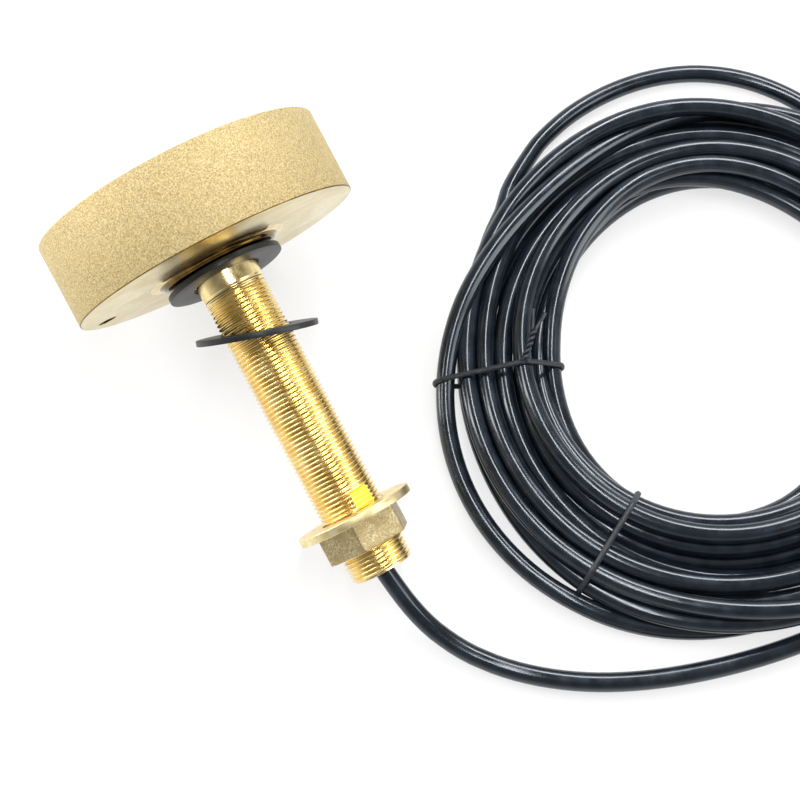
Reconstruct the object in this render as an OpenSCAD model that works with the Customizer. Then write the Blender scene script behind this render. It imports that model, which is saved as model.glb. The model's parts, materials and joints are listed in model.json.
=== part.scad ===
// Through-hull sonar transducer: a cast bronze head on a threaded stem, lying on its side
// next to its coiled cable. The head and stem are drawn upright, with z along the stem from
// the acoustic face, and lay() turns them on their side. The cable lies on z = 0.

/* [Head] */
// Diameter of the bronze head
head_d = 152; // [140:1:170]
// Height of the head, from the acoustic face to the stem-side face
head_h = 43; // [39:0.5:55]
// Thickness of the side wall of the head
head_wall = 7; // [5:0.5:9]
// Thickness of the stem-side wall of the head
head_top = 12; // [11:0.5:13]
// Break on the sharp edges of the head
head_edge = 0.6; // [0.3:0.1:1.5]

/* [Boss and hole] */
// Diameter of the boss at its foot
boss_foot_d = 62; // [61:1:74]
// Diameter of the boss at its top
boss_d = 58; // [50:1:60]
// Height of the boss
boss_h = 4; // [3.8:0.2:8]
// Radius of the fillet at the foot of the boss
boss_fillet = 3; // [1:0.2:3.2]
// Diameter of the hole for the anti-rotation pin
hole_d = 10.2; // [6:0.1:12]
// Depth of that hole
hole_depth = 9; // [5:0.5:10]
// Countersink round the mouth of that hole
hole_countersink = 0.8; // [0.3:0.1:1.5]
// Distance from the rim of the head to the axis of that hole
hole_inset = 10; // [9:0.5:16]
// Angle of that hole round the stem
hole_angle = -73; // [-180:1:180]

/* [Stem] */
// Outside diameter of the pipe thread on the stem
thread_d = 33.25; // [30:0.05:36]
// Bore of the stem
stem_bore = 16; // [13:0.5:20]
// Diameter of the flange that holds the stem inside the head
stem_flange_d = 46; // [44:1:56]
// Height of that flange
stem_flange_h = 4; // [3.5:0.1:5]
// Section of the sealing ring in that flange
seal_section = 2.4; // [1.6:0.1:2.8]
// Chamfer at the free end of the stem
stem_chamfer = 1.2; // [0.5:0.1:2]
// Length of stem that stands out past the nut
stem_tail = 13.9; // [8:0.1:40]

/* [Washers and nut] */
// Diameter of the two rubber washers
rubber_d = 62.5; // [60:0.5:70]
// Thickness of the rubber washers
rubber_t = 3; // [2:0.5:4]
// Room in the bore of a rubber washer when it leans its most
rubber_room = 0.27; // [0.2:0.01:0.6]
// Lean of the washer that hangs against the boss
head_washer_lean = 4.5; // [1:0.5:6]
// Lean of the washer part way along the stem
loose_washer_lean = 18; // [8:0.5:20]
// Direction of that lean round the stem
loose_washer_turn = -64; // [-180:1:180]
// Distance of that washer from the stem-side face of the head
loose_washer_at = 41.5; // [35:0.5:100]
// Distance that it hangs below the stem's axis
loose_washer_drop = 0.6; // [0:0.1:0.6]
// Diameter of the metal hull washer
hull_washer_d = 62; // [56:1:70]
// Thickness of the hull washer
hull_washer_t = 4.2; // [3:0.1:6]
// Room between the hull washer's bore and the thread
hull_washer_room = 0.6; // [0.4:0.1:1.2]
// Distance of the hull washer from the stem-side face of the head
hull_washer_at = 143.9; // [120:0.1:200]
// Width of the nut across its flats
nut_af = 41; // [40:0.5:46]
// Height of the nut
nut_h = 15; // [10:0.1:18]
// Chamfer on the nut's outer corners
nut_chamfer = 1; // [0.6:0.1:3]
// Turn of the nut round the stem
nut_turn = 14; // [0:1:59]

/* [Acoustic stack] */
// Thickness of the acoustic window
window_h = 5; // [4:0.5:6]
// Thickness of the ceramic elements
element_h = 8; // [6:0.5:9]
// Gap between neighbouring elements
element_gap = 2; // [1:0.5:4]
// Least distance from an element to the edge of its carrier
element_margin = 3; // [2:0.5:5]
// Thickness of the cork liner
liner_t = 4; // [2:0.5:5]
// Thickness of the backing pad
backing_h = 3; // [2:0.5:4]
// Diameter of a wire to an element
lead_d = 1.6; // [1:0.1:2]
// Height of the terminal board over the backing pad
board_lift = 2.5; // [2:0.5:3]
// Thickness of the terminal board
board_t = 1.6; // [0.8:0.1:2]
// Gap between the stem's flange and the terminal board
board_gap = 2; // [1:0.5:4]
// Diameter of the tuning coil
tuning_d = 24; // [16:1:26]
// Bore of the tuning coil
tuning_bore = 11; // [6:0.5:13]
// Height of the tuning coil
tuning_h = 5.5; // [4:0.5:6]
// Diameter of the temperature sensor
sensor_d = 5; // [3:0.5:6]
// Diameter of one core of the cable
core_d = 1.8; // [1:0.1:2]

/* [Cable] */
// Diameter of the cable
cable_d = 10; // [9:0.1:11]
// Length of the rubber seal in the end of the stem
cable_seal_l = 14; // [8:1:30]
// Inside diameter of the coil
coil_in_d = 186; // [180:1:190]
// Outside diameter of the coil
coil_out_d = 304; // [296:1:308]
// Height of the coil
coil_h = 27; // [20:1:40]
// Radius of the rounded edges of the coil
coil_round = 5; // [2:0.5:8]
// Thickness of the wire ties
tie_t = 1.8; // [1:0.1:2.5]
// Length of the twisted end of the left tie
tie_end_l = 36; // [20:1:50]

/* [Connector] */
// Diameter of the connector's grip
grip_d = 22; // [20:0.5:24]
// Length of the grip
grip_l = 16; // [12:1:20]
// Diameter of the mating sleeve
sleeve_d = 18; // [16:0.5:19]
// Length of the mating sleeve
sleeve_l = 20; // [16:1:26]
// Wall of the mating sleeve
sleeve_wall = 1; // [0.8:0.1:1.5]
// Depth of the open end of the sleeve
socket_depth = 12; // [9:0.5:14]
// Diameter of a contact pin
pin_d = 1.8; // [1:0.1:2.2]
// Height of a contact pin over the insulator
pin_l = 8; // [5:0.5:9]
// Diameter of the circle of contact pins
pin_circle_d = 9; // [7:0.5:10]
// Length of the tapered strain relief
boot_l = 36; // [24:1:44]
// Diameter of the strain relief at the cable
boot_tip_d = 12; // [11:0.5:14]

/* [Hidden] */
$fn = 64;

bronze = "#d9c07c";
brass = "#d8b25a";
nut_brass = "#a88f55";
black_rubber = "#3a3d42";
black_plastic = "#1e242c";
ceramic = "#e9e4d6";
cork = "#b98a5a";
epoxy = "#4a4238";
copper = "#b8733a";
nickel = "#b9bcc0";
gold = "#d4af37";
board_green = "#2e6b3c";

// Running clearance of a fit
fit = 0.1;

// Radii
head_r = head_d / 2;
cavity_r = head_r - head_wall;
carrier_r = cavity_r - liner_t - fit;
boss_r = boss_d / 2;
boss_foot_r = boss_foot_d / 2;
hole_r = head_r - hole_inset;
thread_r = thread_d / 2;
stem_flange_r = stem_flange_d / 2;
seal_r = (thread_r + stem_flange_r) / 2;
hull_washer_r = hull_washer_d / 2;
nut_r = nut_af / sqrt(3);
cable_r = cable_d / 2;
rubber_r = rubber_d / 2;
rubber_bore_r =
    (thread_r + rubber_t / 2 * sin(loose_washer_lean) + rubber_room) / cos(loose_washer_lean);

// Heights along the stem, from the acoustic face
cavity_h = head_h - head_top;
element_top = window_h + element_h;
backing_top = element_top + backing_h;
board_foot = backing_top + board_lift;
board_top = board_foot + board_t;
stem_foot = cavity_h - stem_flange_h;
hull_washer_foot = head_h + hull_washer_at;
nut_foot = hull_washer_foot + hull_washer_t;
stem_end = nut_foot + nut_h + stem_tail;

// Layout inside the head: one element in the middle and six round it
element_d = (2 * (carrier_r - element_margin) - 2 * element_gap) / 3;
element_pitch = element_d + element_gap;
ring_angles = [for (k = [0:5]) 60 * k];
sensor_r = carrier_r - element_margin - sensor_d / 2;
sensor_angle = 30;
board_in_r = stem_flange_r + board_gap;
tuning_r = (board_in_r + carrier_r) / 2;
tuning_round = 1;
core_angles = [for (k = [0:3]) 45 + 90 * k];
core_circle_r = cable_r / 2;
core_l = board_in_r + 5;

// Lying pose: the stem-side rim of the head and the far rim of the hull washer touch z = 0
washer_edge = 0.3;
lay_tilt = atan((head_r - hull_washer_r) / (nut_foot - washer_edge - head_h + head_edge));
lay_z = head_r * cos(lay_tilt) + (head_h - head_edge) * sin(lay_tilt);
lay_far = stem_end * cos(lay_tilt) + (thread_r - stem_chamfer) * sin(lay_tilt);
lay_near = (head_r - head_edge) * sin(lay_tilt);
lay_x = (lay_near - lay_far) / 2;
stem_dir = [cos(lay_tilt), 0, -sin(lay_tilt)];
cable_exit = [lay_x, 0, lay_z] + stem_end * stem_dir;

// Cable on the table: chosen points, each with its height over the resting height
coil_centre = [96, 224];
lead_first = 15;
lead_points = [
    [143, 2, 7], [158, 7, 2.5], [174, 17, 0], [190, 31, 0], [206, 50, 0], [219, 71, 0],
    [230, 96, 0], [239, 123, 0], [246, 150, 0], [252, 178, 0], [254, 205, 0], [252, 232, 0],
    [245, 258, 0], [234, 280, 0]
];
loop_top_points = [
    [-38, 160, 7], [-52, 185, 3], [-62, 212, 0], [-67, 240, 0], [-66, 268, 0], [-58, 296, 0],
    [-44, 320, 0], [-22, 338, 0], [4, 350, 2], [34, 354, 5]
];
loop_low_points = [
    [12, 104, 6], [28, 83, 3], [50, 67, 2], [78, 58, 0], [108, 53, 0], [138, 55, 0],
    [164, 63, 0], [187, 78, 0], [207, 98, 0], [223, 122, 0], [234, 148, 0], [240, 175, 0],
    [242, 200, 3]
];
tail_points = [[193, 210, 0], [188, 228, 1], [180, 241, 3.5]];
tail_last = 8;
function lifted(points) = [for (p = points) p + [0, 0, cable_r]];

// Wire ties: the angle round the coil, and what each one holds outside the coil
tie_left_angle = -112;
tie_low_angle = -62;
tie_left_reach = 13.5;
tie_end_at = 24;
tie_end_r = 0.9 * tie_t;
tie_end_z = coil_h + fit + tie_end_r + tie_t / 4;
tie_end_angle = 62;

// Connector: it lies in the coil's hole, with its strain relief towards the cable
connector_at = [163, 256, grip_d / 2];
connector_angle = 145;
connector_dir = [cos(connector_angle), sin(connector_angle), 0];
grip_edge = 1;
sleeve_top = boot_l + grip_l + sleeve_l;
insulator_top = sleeve_top - socket_depth;
insulator_t = sleeve_l - socket_depth;
pin_angles = [for (k = [0:5]) 60 * k];

// Turns what is drawn along the stem on its side
module lay() {
    translate([lay_x, 0, lay_z])
        rotate([0, 90 + lay_tilt, 0])
            children();
}

// Lays what is drawn along the connector on the table
module lay_connector() {
    translate(connector_at)
        rotate([0, 90, connector_angle])
            children();
}

// Ring with a square section
module ring(outer_r, inner_r, height) {
    difference() {
        cylinder(r = outer_r, h = height);
        translate([0, 0, -1])
            cylinder(r = inner_r, h = height + 2);
    }
}

// Copies at the same distance from the stem, at several angles
module around(angles, distance) {
    for (angle = angles)
        rotate(angle)
            translate([distance, 0, 0])
                children();
}

// Points of a quarter circle, from one angle to another
function arc(centre, radius, from, to, steps = 6) =
    [for (k = [0:steps]) let (a = from + (to - from) * k / steps)
        centre + radius * [cos(a), sin(a)]];

function unit(v) = v / norm(v);
function path_dir(p, i) = unit(p[min(i + 1, len(p) - 1)] - p[max(i - 1, 0)]);
function path_ring(p, i, r, sides) =
    let (d = path_dir(p, i), s = unit(cross([0, 0, 1], d)), u = cross(d, s))
    [for (k = [0:sides - 1]) p[i] + r * (cos(360 * k / sides) * s + sin(360 * k / sides) * u)];

// Tube along a list of points, closed at both ends
module tube(p, r, sides = 12) {
    last = len(p) - 1;
    polyhedron(
        points = [for (i = [0:last]) each path_ring(p, i, r, sides)],
        faces = concat(
            [[for (k = [0:sides - 1]) k]],
            [for (i = [0:last - 1], k = [0:sides - 1]) let (m = (k + 1) % sides)
                [i * sides + k, (i + 1) * sides + k, (i + 1) * sides + m, i * sides + m]],
            [[for (k = [sides - 1:-1:0]) last * sides + k]]
        )
    );
}

// Rectangle with round corners, from a corner point
module rounded(size, radius) {
    translate([radius, 0])
        square([size[0] - 2 * radius, size[1]]);
    translate([0, radius])
        square([size[0], size[1] - 2 * radius]);
    for (x = [radius, size[0] - radius], y = [radius, size[1] - radius])
        translate([x, y])
            circle(r = radius);
}

// Cast cup with a turned stem-side face, a boss and a blind hole
module head_housing() {
    profile = concat(
        [[cavity_r, 0], [head_r - head_edge, 0], [head_r, head_edge],
         [head_r, head_h - head_edge], [head_r - head_edge, head_h]],
        arc([boss_foot_r + boss_fillet, head_h + boss_fillet], boss_fillet, 270, 180),
        [[boss_r, head_h + boss_h - head_edge], [boss_r - head_edge, head_h + boss_h],
         [thread_r + fit, head_h + boss_h], [thread_r + fit, cavity_h], [cavity_r, cavity_h]]
    );
    color(bronze)
        lay()
            difference() {
                rotate_extrude()
                    polygon(profile);
                rotate(hole_angle)
                    translate([hole_r, 0, head_h - hole_depth]) {
                        cylinder(d = hole_d, h = hole_depth + 1);
                        translate([0, 0, hole_depth - hole_countersink])
                            cylinder(
                                d1 = hole_d,
                                d2 = hole_d + 4 * hole_countersink,
                                h = 2 * hole_countersink
                            );
                    }
            }
}

// Turned tube with a flange that bears on the inside of the head
module stem() {
    profile = [
        [stem_bore / 2, stem_foot], [stem_flange_r, stem_foot], [stem_flange_r, cavity_h],
        [thread_r, cavity_h], [thread_r, stem_end - stem_chamfer],
        [thread_r - stem_chamfer, stem_end], [stem_bore / 2, stem_end]
    ];
    groove_half = seal_section / 2 + fit;
    color(brass)
        lay()
            difference() {
                rotate_extrude()
                    polygon(profile);
                translate([0, 0, cavity_h - seal_section - fit])
                    ring(seal_r + groove_half, seal_r - groove_half, seal_section + 1);
            }
}

// Rubber ring in the groove of the stem's flange
module stem_seal_ring() {
    color(black_rubber)
        lay()
            translate([0, 0, cavity_h - seal_section / 2 - fit / 2])
                rotate_extrude()
                    translate([seal_r, 0])
                        circle(d = seal_section);
}

// Cast urethane face, flush with the rim
module acoustic_window() {
    color(black_plastic)
        lay()
            cylinder(r = cavity_r - fit, h = window_h);
}

// Cork lining between the stack and the side wall
module liner_ring() {
    color(cork)
        lay()
            translate([0, 0, window_h])
                ring(cavity_r - fit, cavity_r - liner_t, cavity_h - window_h);
}

// Cork plate with a pocket for each element and for the sensor
module element_carrier() {
    pocket_d = element_d + 2 * fit;
    color(cork)
        lay()
            translate([0, 0, window_h])
                difference() {
                    cylinder(r = carrier_r, h = element_h);
                    translate([0, 0, -1]) {
                        cylinder(d = pocket_d, h = element_h + 2);
                        around(ring_angles, element_pitch)
                            cylinder(d = pocket_d, h = element_h + 2);
                        around([sensor_angle], sensor_r)
                            cylinder(d = sensor_d + 2 * fit, h = element_h + 2);
                    }
                }
}

module centre_element() {
    color(ceramic)
        lay()
            translate([0, 0, window_h])
                cylinder(d = element_d, h = element_h);
}

module ring_elements() {
    color(ceramic)
        lay()
            translate([0, 0, window_h])
                around(ring_angles, element_pitch)
                    cylinder(d = element_d, h = element_h);
}

// Wires that stand on the elements; room widens them for the holes that they pass through
module lead_wires(room = 0) {
    wire_d = lead_d + 2 * room;
    translate([0, 0, element_top]) {
        cylinder(d = wire_d, h = stem_foot - element_top);
        around(ring_angles, element_pitch)
            cylinder(d = wire_d, h = board_foot - element_top);
    }
}

module sensor_wire(room = 0) {
    translate([0, 0, element_top])
        around([sensor_angle], sensor_r)
            cylinder(d = lead_d + 2 * room, h = board_foot - element_top);
}

module element_leads() {
    color(copper)
        lay()
            lead_wires();
}

module temperature_sensor() {
    color(nickel)
        lay() {
            translate([0, 0, window_h])
                around([sensor_angle], sensor_r)
                    cylinder(d = sensor_d, h = element_h);
            sensor_wire();
        }
}

// Foam pad behind the elements
module backing_pad() {
    color(cork)
        lay()
            difference() {
                translate([0, 0, element_top])
                    cylinder(r = carrier_r, h = backing_h);
                lead_wires(fit);
                sensor_wire(fit);
            }
}

// Round board that joins the elements to the cable's cores
module terminal_board() {
    color(board_green)
        lay()
            translate([0, 0, board_foot])
                ring(carrier_r, board_in_r, board_t);
}

// Wound ring that tunes the elements
module tuning_shape(room = 0) {
    ring_w = (tuning_d - tuning_bore) / 2;
    translate([tuning_r, 0, board_top - room])
        rotate_extrude()
            translate([tuning_bore / 2 - room, 0])
                rounded([ring_w + 2 * room, tuning_h + 2 * room], tuning_round);
}

module tuning_coil() {
    color(copper)
        lay()
            tuning_shape();
}

// Cores that come out of the cable's end and lie on the board
module core_wires(room = 0) {
    wire_d = core_d + 2 * room;
    core_z = board_top + core_d / 2;
    around(core_angles, core_circle_r) {
        translate([0, 0, core_z])
            rotate([0, 90, 0])
                cylinder(d = wire_d, h = core_l - core_circle_r);
        translate([0, 0, core_z])
            cylinder(d = wire_d, h = stem_foot - core_z);
    }
}

module cable_cores() {
    color(copper)
        lay()
            core_wires();
}

// Epoxy that fills the rest of the head
module potting() {
    color(epoxy)
        lay()
            difference() {
                translate([0, 0, backing_top])
                    cylinder(r = carrier_r, h = cavity_h - backing_top);
                translate([0, 0, stem_foot])
                    cylinder(r = stem_flange_r + fit, h = stem_flange_h + 1);
                translate([0, 0, board_foot])
                    ring(carrier_r + 1, board_in_r - fit, board_t);
                tuning_shape(fit);
                core_wires(fit);
                lead_wires(fit);
                sensor_wire(fit);
            }
}

module cable_in_stem() {
    color(black_plastic)
        lay()
            translate([0, 0, stem_foot])
                cylinder(r = cable_r, h = stem_end - stem_foot);
}

// Rubber plug round the cable in the end of the stem
module cable_seal() {
    color(black_rubber)
        lay()
            translate([0, 0, stem_end - cable_seal_l])
                ring(stem_bore / 2 - fit, cable_r + fit, cable_seal_l);
}

// Flat rubber washer, standing on z = 0
module rubber_washer() {
    color(black_rubber)
        ring(rubber_r, rubber_bore_r, rubber_t);
}

// It hangs from the stem, with its upper edge against the boss
module head_washer() {
    drop = rubber_bore_r * cos(head_washer_lean) - thread_r - fit;
    seat = head_h + boss_h + fit + tan(head_washer_lean) * (boss_r + drop);
    lay()
        translate([drop, 0, seat])
            rotate([0, head_washer_lean, 180])
                rubber_washer();
}

// It leans on the thread part way along the stem
module loose_washer() {
    lay()
        rotate(loose_washer_turn)
            translate([0, loose_washer_drop, head_h + loose_washer_at])
                rotate([0, loose_washer_lean, 0])
                    translate([0, 0, -rubber_t / 2])
                        rubber_washer();
}

module hull_washer() {
    bore_r = thread_r + hull_washer_room;
    rim_r = hull_washer_r;
    profile = [
        [bore_r, 0], [rim_r - washer_edge, 0], [rim_r, washer_edge],
        [rim_r, hull_washer_t - washer_edge], [rim_r - washer_edge, hull_washer_t],
        [bore_r, hull_washer_t]
    ];
    color(brass)
        lay()
            translate([0, 0, hull_washer_foot])
                rotate_extrude()
                    polygon(profile);
}

// Hexagon with its outer corners turned off
module hull_nut() {
    bore_r = thread_r + fit;
    mouth = 1;
    profile = [
        [bore_r, 0], [nut_r + 1, 0], [nut_r + 1, nut_h - nut_chamfer],
        [nut_r - 2 * nut_chamfer + 1, nut_h], [bore_r + mouth, nut_h], [bore_r, nut_h - mouth]
    ];
    color(nut_brass)
        lay()
            translate([0, 0, nut_foot])
                rotate(nut_turn)
                    intersection() {
                        cylinder(r = nut_r, h = nut_h, $fn = 6);
                        rotate_extrude()
                            polygon(profile);
                    }
}

// From the stem's end down to the table and round to the coil
module cable_lead() {
    color(black_plastic)
        tube(concat([cable_exit, cable_exit + lead_first * stem_dir], lifted(lead_points)), cable_r);
}

// Outline of a tie round the bundle; room widens it for the slot in the bundle
module tie_outline(reach, room = 0) {
    inner_w = (coil_out_d - coil_in_d) / 2 + reach + 2 * fit;
    inner_h = coil_h - tie_t + fit;
    difference() {
        translate([-tie_t - room, -room])
            rounded(
                [inner_w + 2 * (tie_t + room), inner_h + 2 * (tie_t + room)],
                coil_round + tie_t + room
            );
        translate([room, tie_t + room])
            rounded([inner_w - 2 * room, inner_h - 2 * room], coil_round - room);
    }
}

// Wire band round the bundle, in the plane of the coil's radius
module tie_band(angle, reach, room = 0) {
    translate(coil_centre)
        rotate(angle)
            translate([coil_in_d / 2 - fit, 0, 0])
                rotate([90, 0, 0])
                    translate([0, 0, -tie_t / 2 - room])
                        linear_extrude(tie_t + 2 * room)
                            tie_outline(reach, room);
}

// Outer shape of the bundle of turns
module cable_coil() {
    color(black_plastic)
        difference() {
            translate(coil_centre)
                rotate_extrude()
                    translate([coil_in_d / 2, 0])
                        rounded([(coil_out_d - coil_in_d) / 2, coil_h], coil_round);
            tie_band(tie_left_angle, tie_left_reach, fit / 2);
            tie_band(tie_low_angle, 0, fit / 2);
        }
}

// One turn that has sprung out of the bundle at the top
module cable_loop_top() {
    color(black_plastic)
        tube(lifted(loop_top_points), cable_r);
}

// One turn that has sprung out of the bundle at the bottom
module cable_loop_low() {
    color(black_plastic)
        tube(lifted(loop_low_points), cable_r);
}

// From the inside of the coil to the connector
module cable_tail() {
    color(black_plastic)
        tube(
            concat(
                lifted(tail_points),
                [connector_at - tail_last * connector_dir, connector_at]
            ),
            cable_r
        );
}

module tie_left() {
    color(black_plastic) {
        tie_band(tie_left_angle, tie_left_reach);
        translate(coil_centre)
            rotate(tie_left_angle)
                translate([coil_in_d / 2 + tie_end_at, 0, tie_end_z])
                    rotate([0, 90, tie_end_angle])
                        cylinder(r = tie_end_r, h = tie_end_l);
    }
}

module tie_low() {
    color(black_plastic)
        tie_band(tie_low_angle, 0);
}

// Turned shell: a grip and a mating sleeve that is open at its end
module connector_shell() {
    grip_r = grip_d / 2;
    sleeve_r = sleeve_d / 2;
    socket_r = sleeve_r - sleeve_wall;
    profile = [
        [0, 0], [grip_r - grip_edge, 0], [grip_r, grip_edge], [grip_r, grip_l - grip_edge],
        [grip_r - grip_edge, grip_l], [sleeve_r, grip_l], [sleeve_r, grip_l + sleeve_l],
        [socket_r, grip_l + sleeve_l], [socket_r, grip_l], [0, grip_l]
    ];
    color(nickel)
        lay_connector()
            translate([0, 0, boot_l])
                rotate_extrude()
                    polygon(profile);
}

module connector_insulator() {
    color(black_plastic)
        lay_connector()
            translate([0, 0, boot_l + grip_l])
                cylinder(r = sleeve_d / 2 - sleeve_wall - fit, h = insulator_t);
}

module connector_pins() {
    color(gold)
        lay_connector()
            translate([0, 0, insulator_top]) {
                cylinder(d = pin_d, h = pin_l);
                around(pin_angles, pin_circle_d / 2)
                    cylinder(d = pin_d, h = pin_l);
            }
}

// Tapered rubber strain relief
module connector_boot() {
    color(black_rubber)
        lay_connector()
            cylinder(d1 = boot_tip_d, d2 = grip_d - 2 * grip_edge, h = boot_l);
}

head_housing();
stem();
stem_seal_ring();
acoustic_window();
liner_ring();
element_carrier();
centre_element();
ring_elements();
backing_pad();
element_leads();
terminal_board();
tuning_coil();
temperature_sensor();
cable_cores();
potting();
cable_in_stem();
cable_seal();
head_washer();
loose_washer();
hull_washer();
hull_nut();
cable_lead();
cable_coil();
cable_loop_top();
cable_loop_low();
cable_tail();
tie_left();
tie_low();
connector_shell();
connector_insulator();
connector_pins();
connector_boot();
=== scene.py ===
import json
import math

import bpy
import numpy as np
from mathutils import Matrix, Vector


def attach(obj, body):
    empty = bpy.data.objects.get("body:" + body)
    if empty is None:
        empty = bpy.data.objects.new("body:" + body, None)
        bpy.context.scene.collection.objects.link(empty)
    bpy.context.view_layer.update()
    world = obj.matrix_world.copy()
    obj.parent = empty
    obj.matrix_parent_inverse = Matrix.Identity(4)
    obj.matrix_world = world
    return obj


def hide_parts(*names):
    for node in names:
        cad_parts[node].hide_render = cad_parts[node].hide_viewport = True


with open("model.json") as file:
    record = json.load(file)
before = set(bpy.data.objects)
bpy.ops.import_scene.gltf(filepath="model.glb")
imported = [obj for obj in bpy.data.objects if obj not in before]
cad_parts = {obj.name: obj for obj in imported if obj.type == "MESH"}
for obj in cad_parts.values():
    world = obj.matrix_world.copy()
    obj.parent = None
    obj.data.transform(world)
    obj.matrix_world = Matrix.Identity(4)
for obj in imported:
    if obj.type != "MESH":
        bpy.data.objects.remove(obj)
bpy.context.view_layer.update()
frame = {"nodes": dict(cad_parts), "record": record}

# Head housing: a sand-cast bronze cup, 152 mm across. Its side keeps the grain of the sand, and its
# stem-side face, its boss and the blind hole for the anti-rotation pin are turned and drilled.
mm = 0.001
weld = 0.005 * mm
mounts = {mount["name"]: mount for mount in frame["record"]["mounts"]}
face_at = Vector(mounts["acoustic_face"]["pos_m"])
stem_dir = Vector(mounts["hull_face"]["axis"]).normalized()
across_dir = Vector((0, 1, 0))
lean_dir = across_dir.cross(stem_dir)
lay = Matrix.Translation(face_at) @ Matrix((lean_dir, across_dir, stem_dir)).transposed().to_4x4()


class Wire:
    """A socket in a material's node tree, so that shader maths reads as sums and products."""

    def __init__(self, tree, socket=None):
        self.tree = tree
        self.socket = socket

    def node(self, kind, settings=None, inputs=None, out=0):
        """Adds a node, sets its settings, then gives its sockets their values or links."""
        node = self.tree.nodes.new("ShaderNode" + kind)
        for name, value in (settings or {}).items():
            setattr(node, name, value)
        for name, value in (inputs or {}).items():
            if isinstance(value, Wire):
                self.tree.links.new(value.socket, node.inputs[name])
            else:
                node.inputs[name].default_value = value
        return Wire(self.tree, node.outputs[out]) if node.outputs else None

    def maths(self, operation, first, second):
        return self.node("Math", {"operation": operation}, {0: first, 1: second})

    def __add__(self, other):
        return self.maths("ADD", self, other)

    def __rsub__(self, other):
        return self.maths("SUBTRACT", other, self)

    def __mul__(self, other):
        return self.maths("MULTIPLY", self, other)

    __radd__ = __add__
    __rmul__ = __mul__


def colour(red, green, blue):
    """A screen colour of 0 to 255 as the linear colour that a shader takes."""
    parts = [part / 255 for part in (red, green, blue)]
    return (*[p / 12.92 if p <= 0.04045 else ((p + 0.055) / 1.055) ** 2.4 for p in parts], 1.0)


def new_finish(name):
    """An empty material, with a wire to build it from and its object coordinates."""
    material = bpy.data.materials.new(name)
    material.use_nodes = True
    material.node_tree.nodes.clear()
    start = Wire(material.node_tree)
    return material, start, start.node("TexCoord", out="Object")


def noise(coords, size, detail=3.0):
    """Grain with features of about that size in metres."""
    inputs = {"Vector": coords, "Scale": 1 / size, "Detail": detail, "Roughness": 0.55}
    return coords.node("TexNoise", {}, inputs)


def between(value, low, high, to_low=0.0, to_high=1.0):
    """Carries a value from one range to another, held at its ends."""
    inputs = {"Value": value, "From Min": low, "From Max": high, "To Min": to_low, "To Max": to_high}
    return value.node("MapRange", {}, inputs)


def blended(factor, first, second):
    """One colour at 0 and another at 1."""
    return factor.node("Mix", {"data_type": "RGBA"}, {0: factor, 6: first, 7: second}, out=2)


def surface(start, inputs):
    """Ends a material in a Principled shader."""
    shader = start.node("BsdfPrincipled", {}, inputs)
    start.node("OutputMaterial", {}, {"Surface": shader})


def along_stem(coords):
    """Coordinates that run along the stem: z from the acoustic face, and x and y across."""
    inputs = {"Vector": coords, "Location": face_at, "Rotation": lay.to_euler()}
    return coords.node("Mapping", {"vector_type": "TEXTURE"}, inputs)


def stem_distance(local):
    """How far a point lies from the stem's axis."""
    flat = local.node("VectorMath", {"operation": "MULTIPLY"}, {0: local, 1: (1, 1, 0)})
    return local.node("VectorMath", {"operation": "LENGTH"}, {0: flat}, out="Value")


def bumps(height, strength, distance):
    """A normal that a height field tilts."""
    return height.node("Bump", {}, {"Strength": strength, "Distance": distance, "Height": height})


def cast_bronze():
    material, start, coords = new_finish("cast_bronze")
    grain = noise(coords, 0.8 * mm, 2.0)
    fine = noise(coords, 0.35 * mm, 2.0)
    patches = noise(coords, 14 * mm)
    tone = between(0.55 * grain + 0.45 * fine, 0.36, 0.64)
    sandy = blended(tone, colour(134, 113, 64), colour(217, 200, 152))
    aged = blended(between(patches, 0.3, 0.8, 0.0, 0.3), sandy, colour(194, 170, 112))
    surface(start, {
        "Base Color": aged, "Metallic": 0.5, "Roughness": between(fine, 0.3, 0.7, 0.58, 0.72),
        "Normal": bumps(grain + fine, 0.6, 0.22 * mm),
    })
    return material


def turned_bronze():
    material, start, coords = new_finish("turned_bronze")
    rings = start.node("CombineXYZ", {}, {"X": stem_distance(along_stem(coords))})
    lines = noise(rings, 0.5 * mm, 4.0)
    patches = noise(coords, 18 * mm)
    tone = blended(between(patches, 0.35, 0.7), colour(216, 199, 146), colour(238, 227, 191))
    surface(start, {
        "Base Color": tone, "Metallic": 1.0, "Roughness": between(lines, 0.3, 0.7, 0.24, 0.36),
        "Normal": bumps(lines, 0.12, 0.05 * mm),
    })
    return material


def grained(name, dark, bright, size, rough, metallic=0.0, relief=0.0):
    """A finish that varies in tone and gloss, with grain of that size and relief of that height."""
    material, start, coords = new_finish(name)
    grain = noise(coords, size)
    tone = blended(between(grain, 0.35, 0.68), dark, bright)
    surface(start, {
        "Base Color": tone, "Metallic": metallic, "Roughness": between(grain, 0.3, 0.7, *rough),
        "Normal": bumps(grain, 0.5, relief),
    })
    return material


def draw_profile(name, profile):
    """Extrudes a point along a profile of radius and height, and stays in edit mode."""
    bpy.ops.object.select_all(action="DESELECT")
    bpy.ops.mesh.primitive_plane_add(size=mm)
    made = bpy.context.object
    made.name = name
    bpy.ops.object.mode_set(mode="EDIT")
    bpy.ops.mesh.select_mode(type="VERT")
    bpy.ops.mesh.merge(type="CENTER")
    bpy.ops.transform.translate(value=(profile[0][0], 0, profile[0][1]))
    for (radius, height), (next_radius, next_height) in zip(profile, profile[1:]):
        step = (next_radius - radius, 0, next_height - height)
        bpy.ops.mesh.extrude_vertices_move(TRANSFORM_OT_translate={"value": step})
    return made


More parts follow.
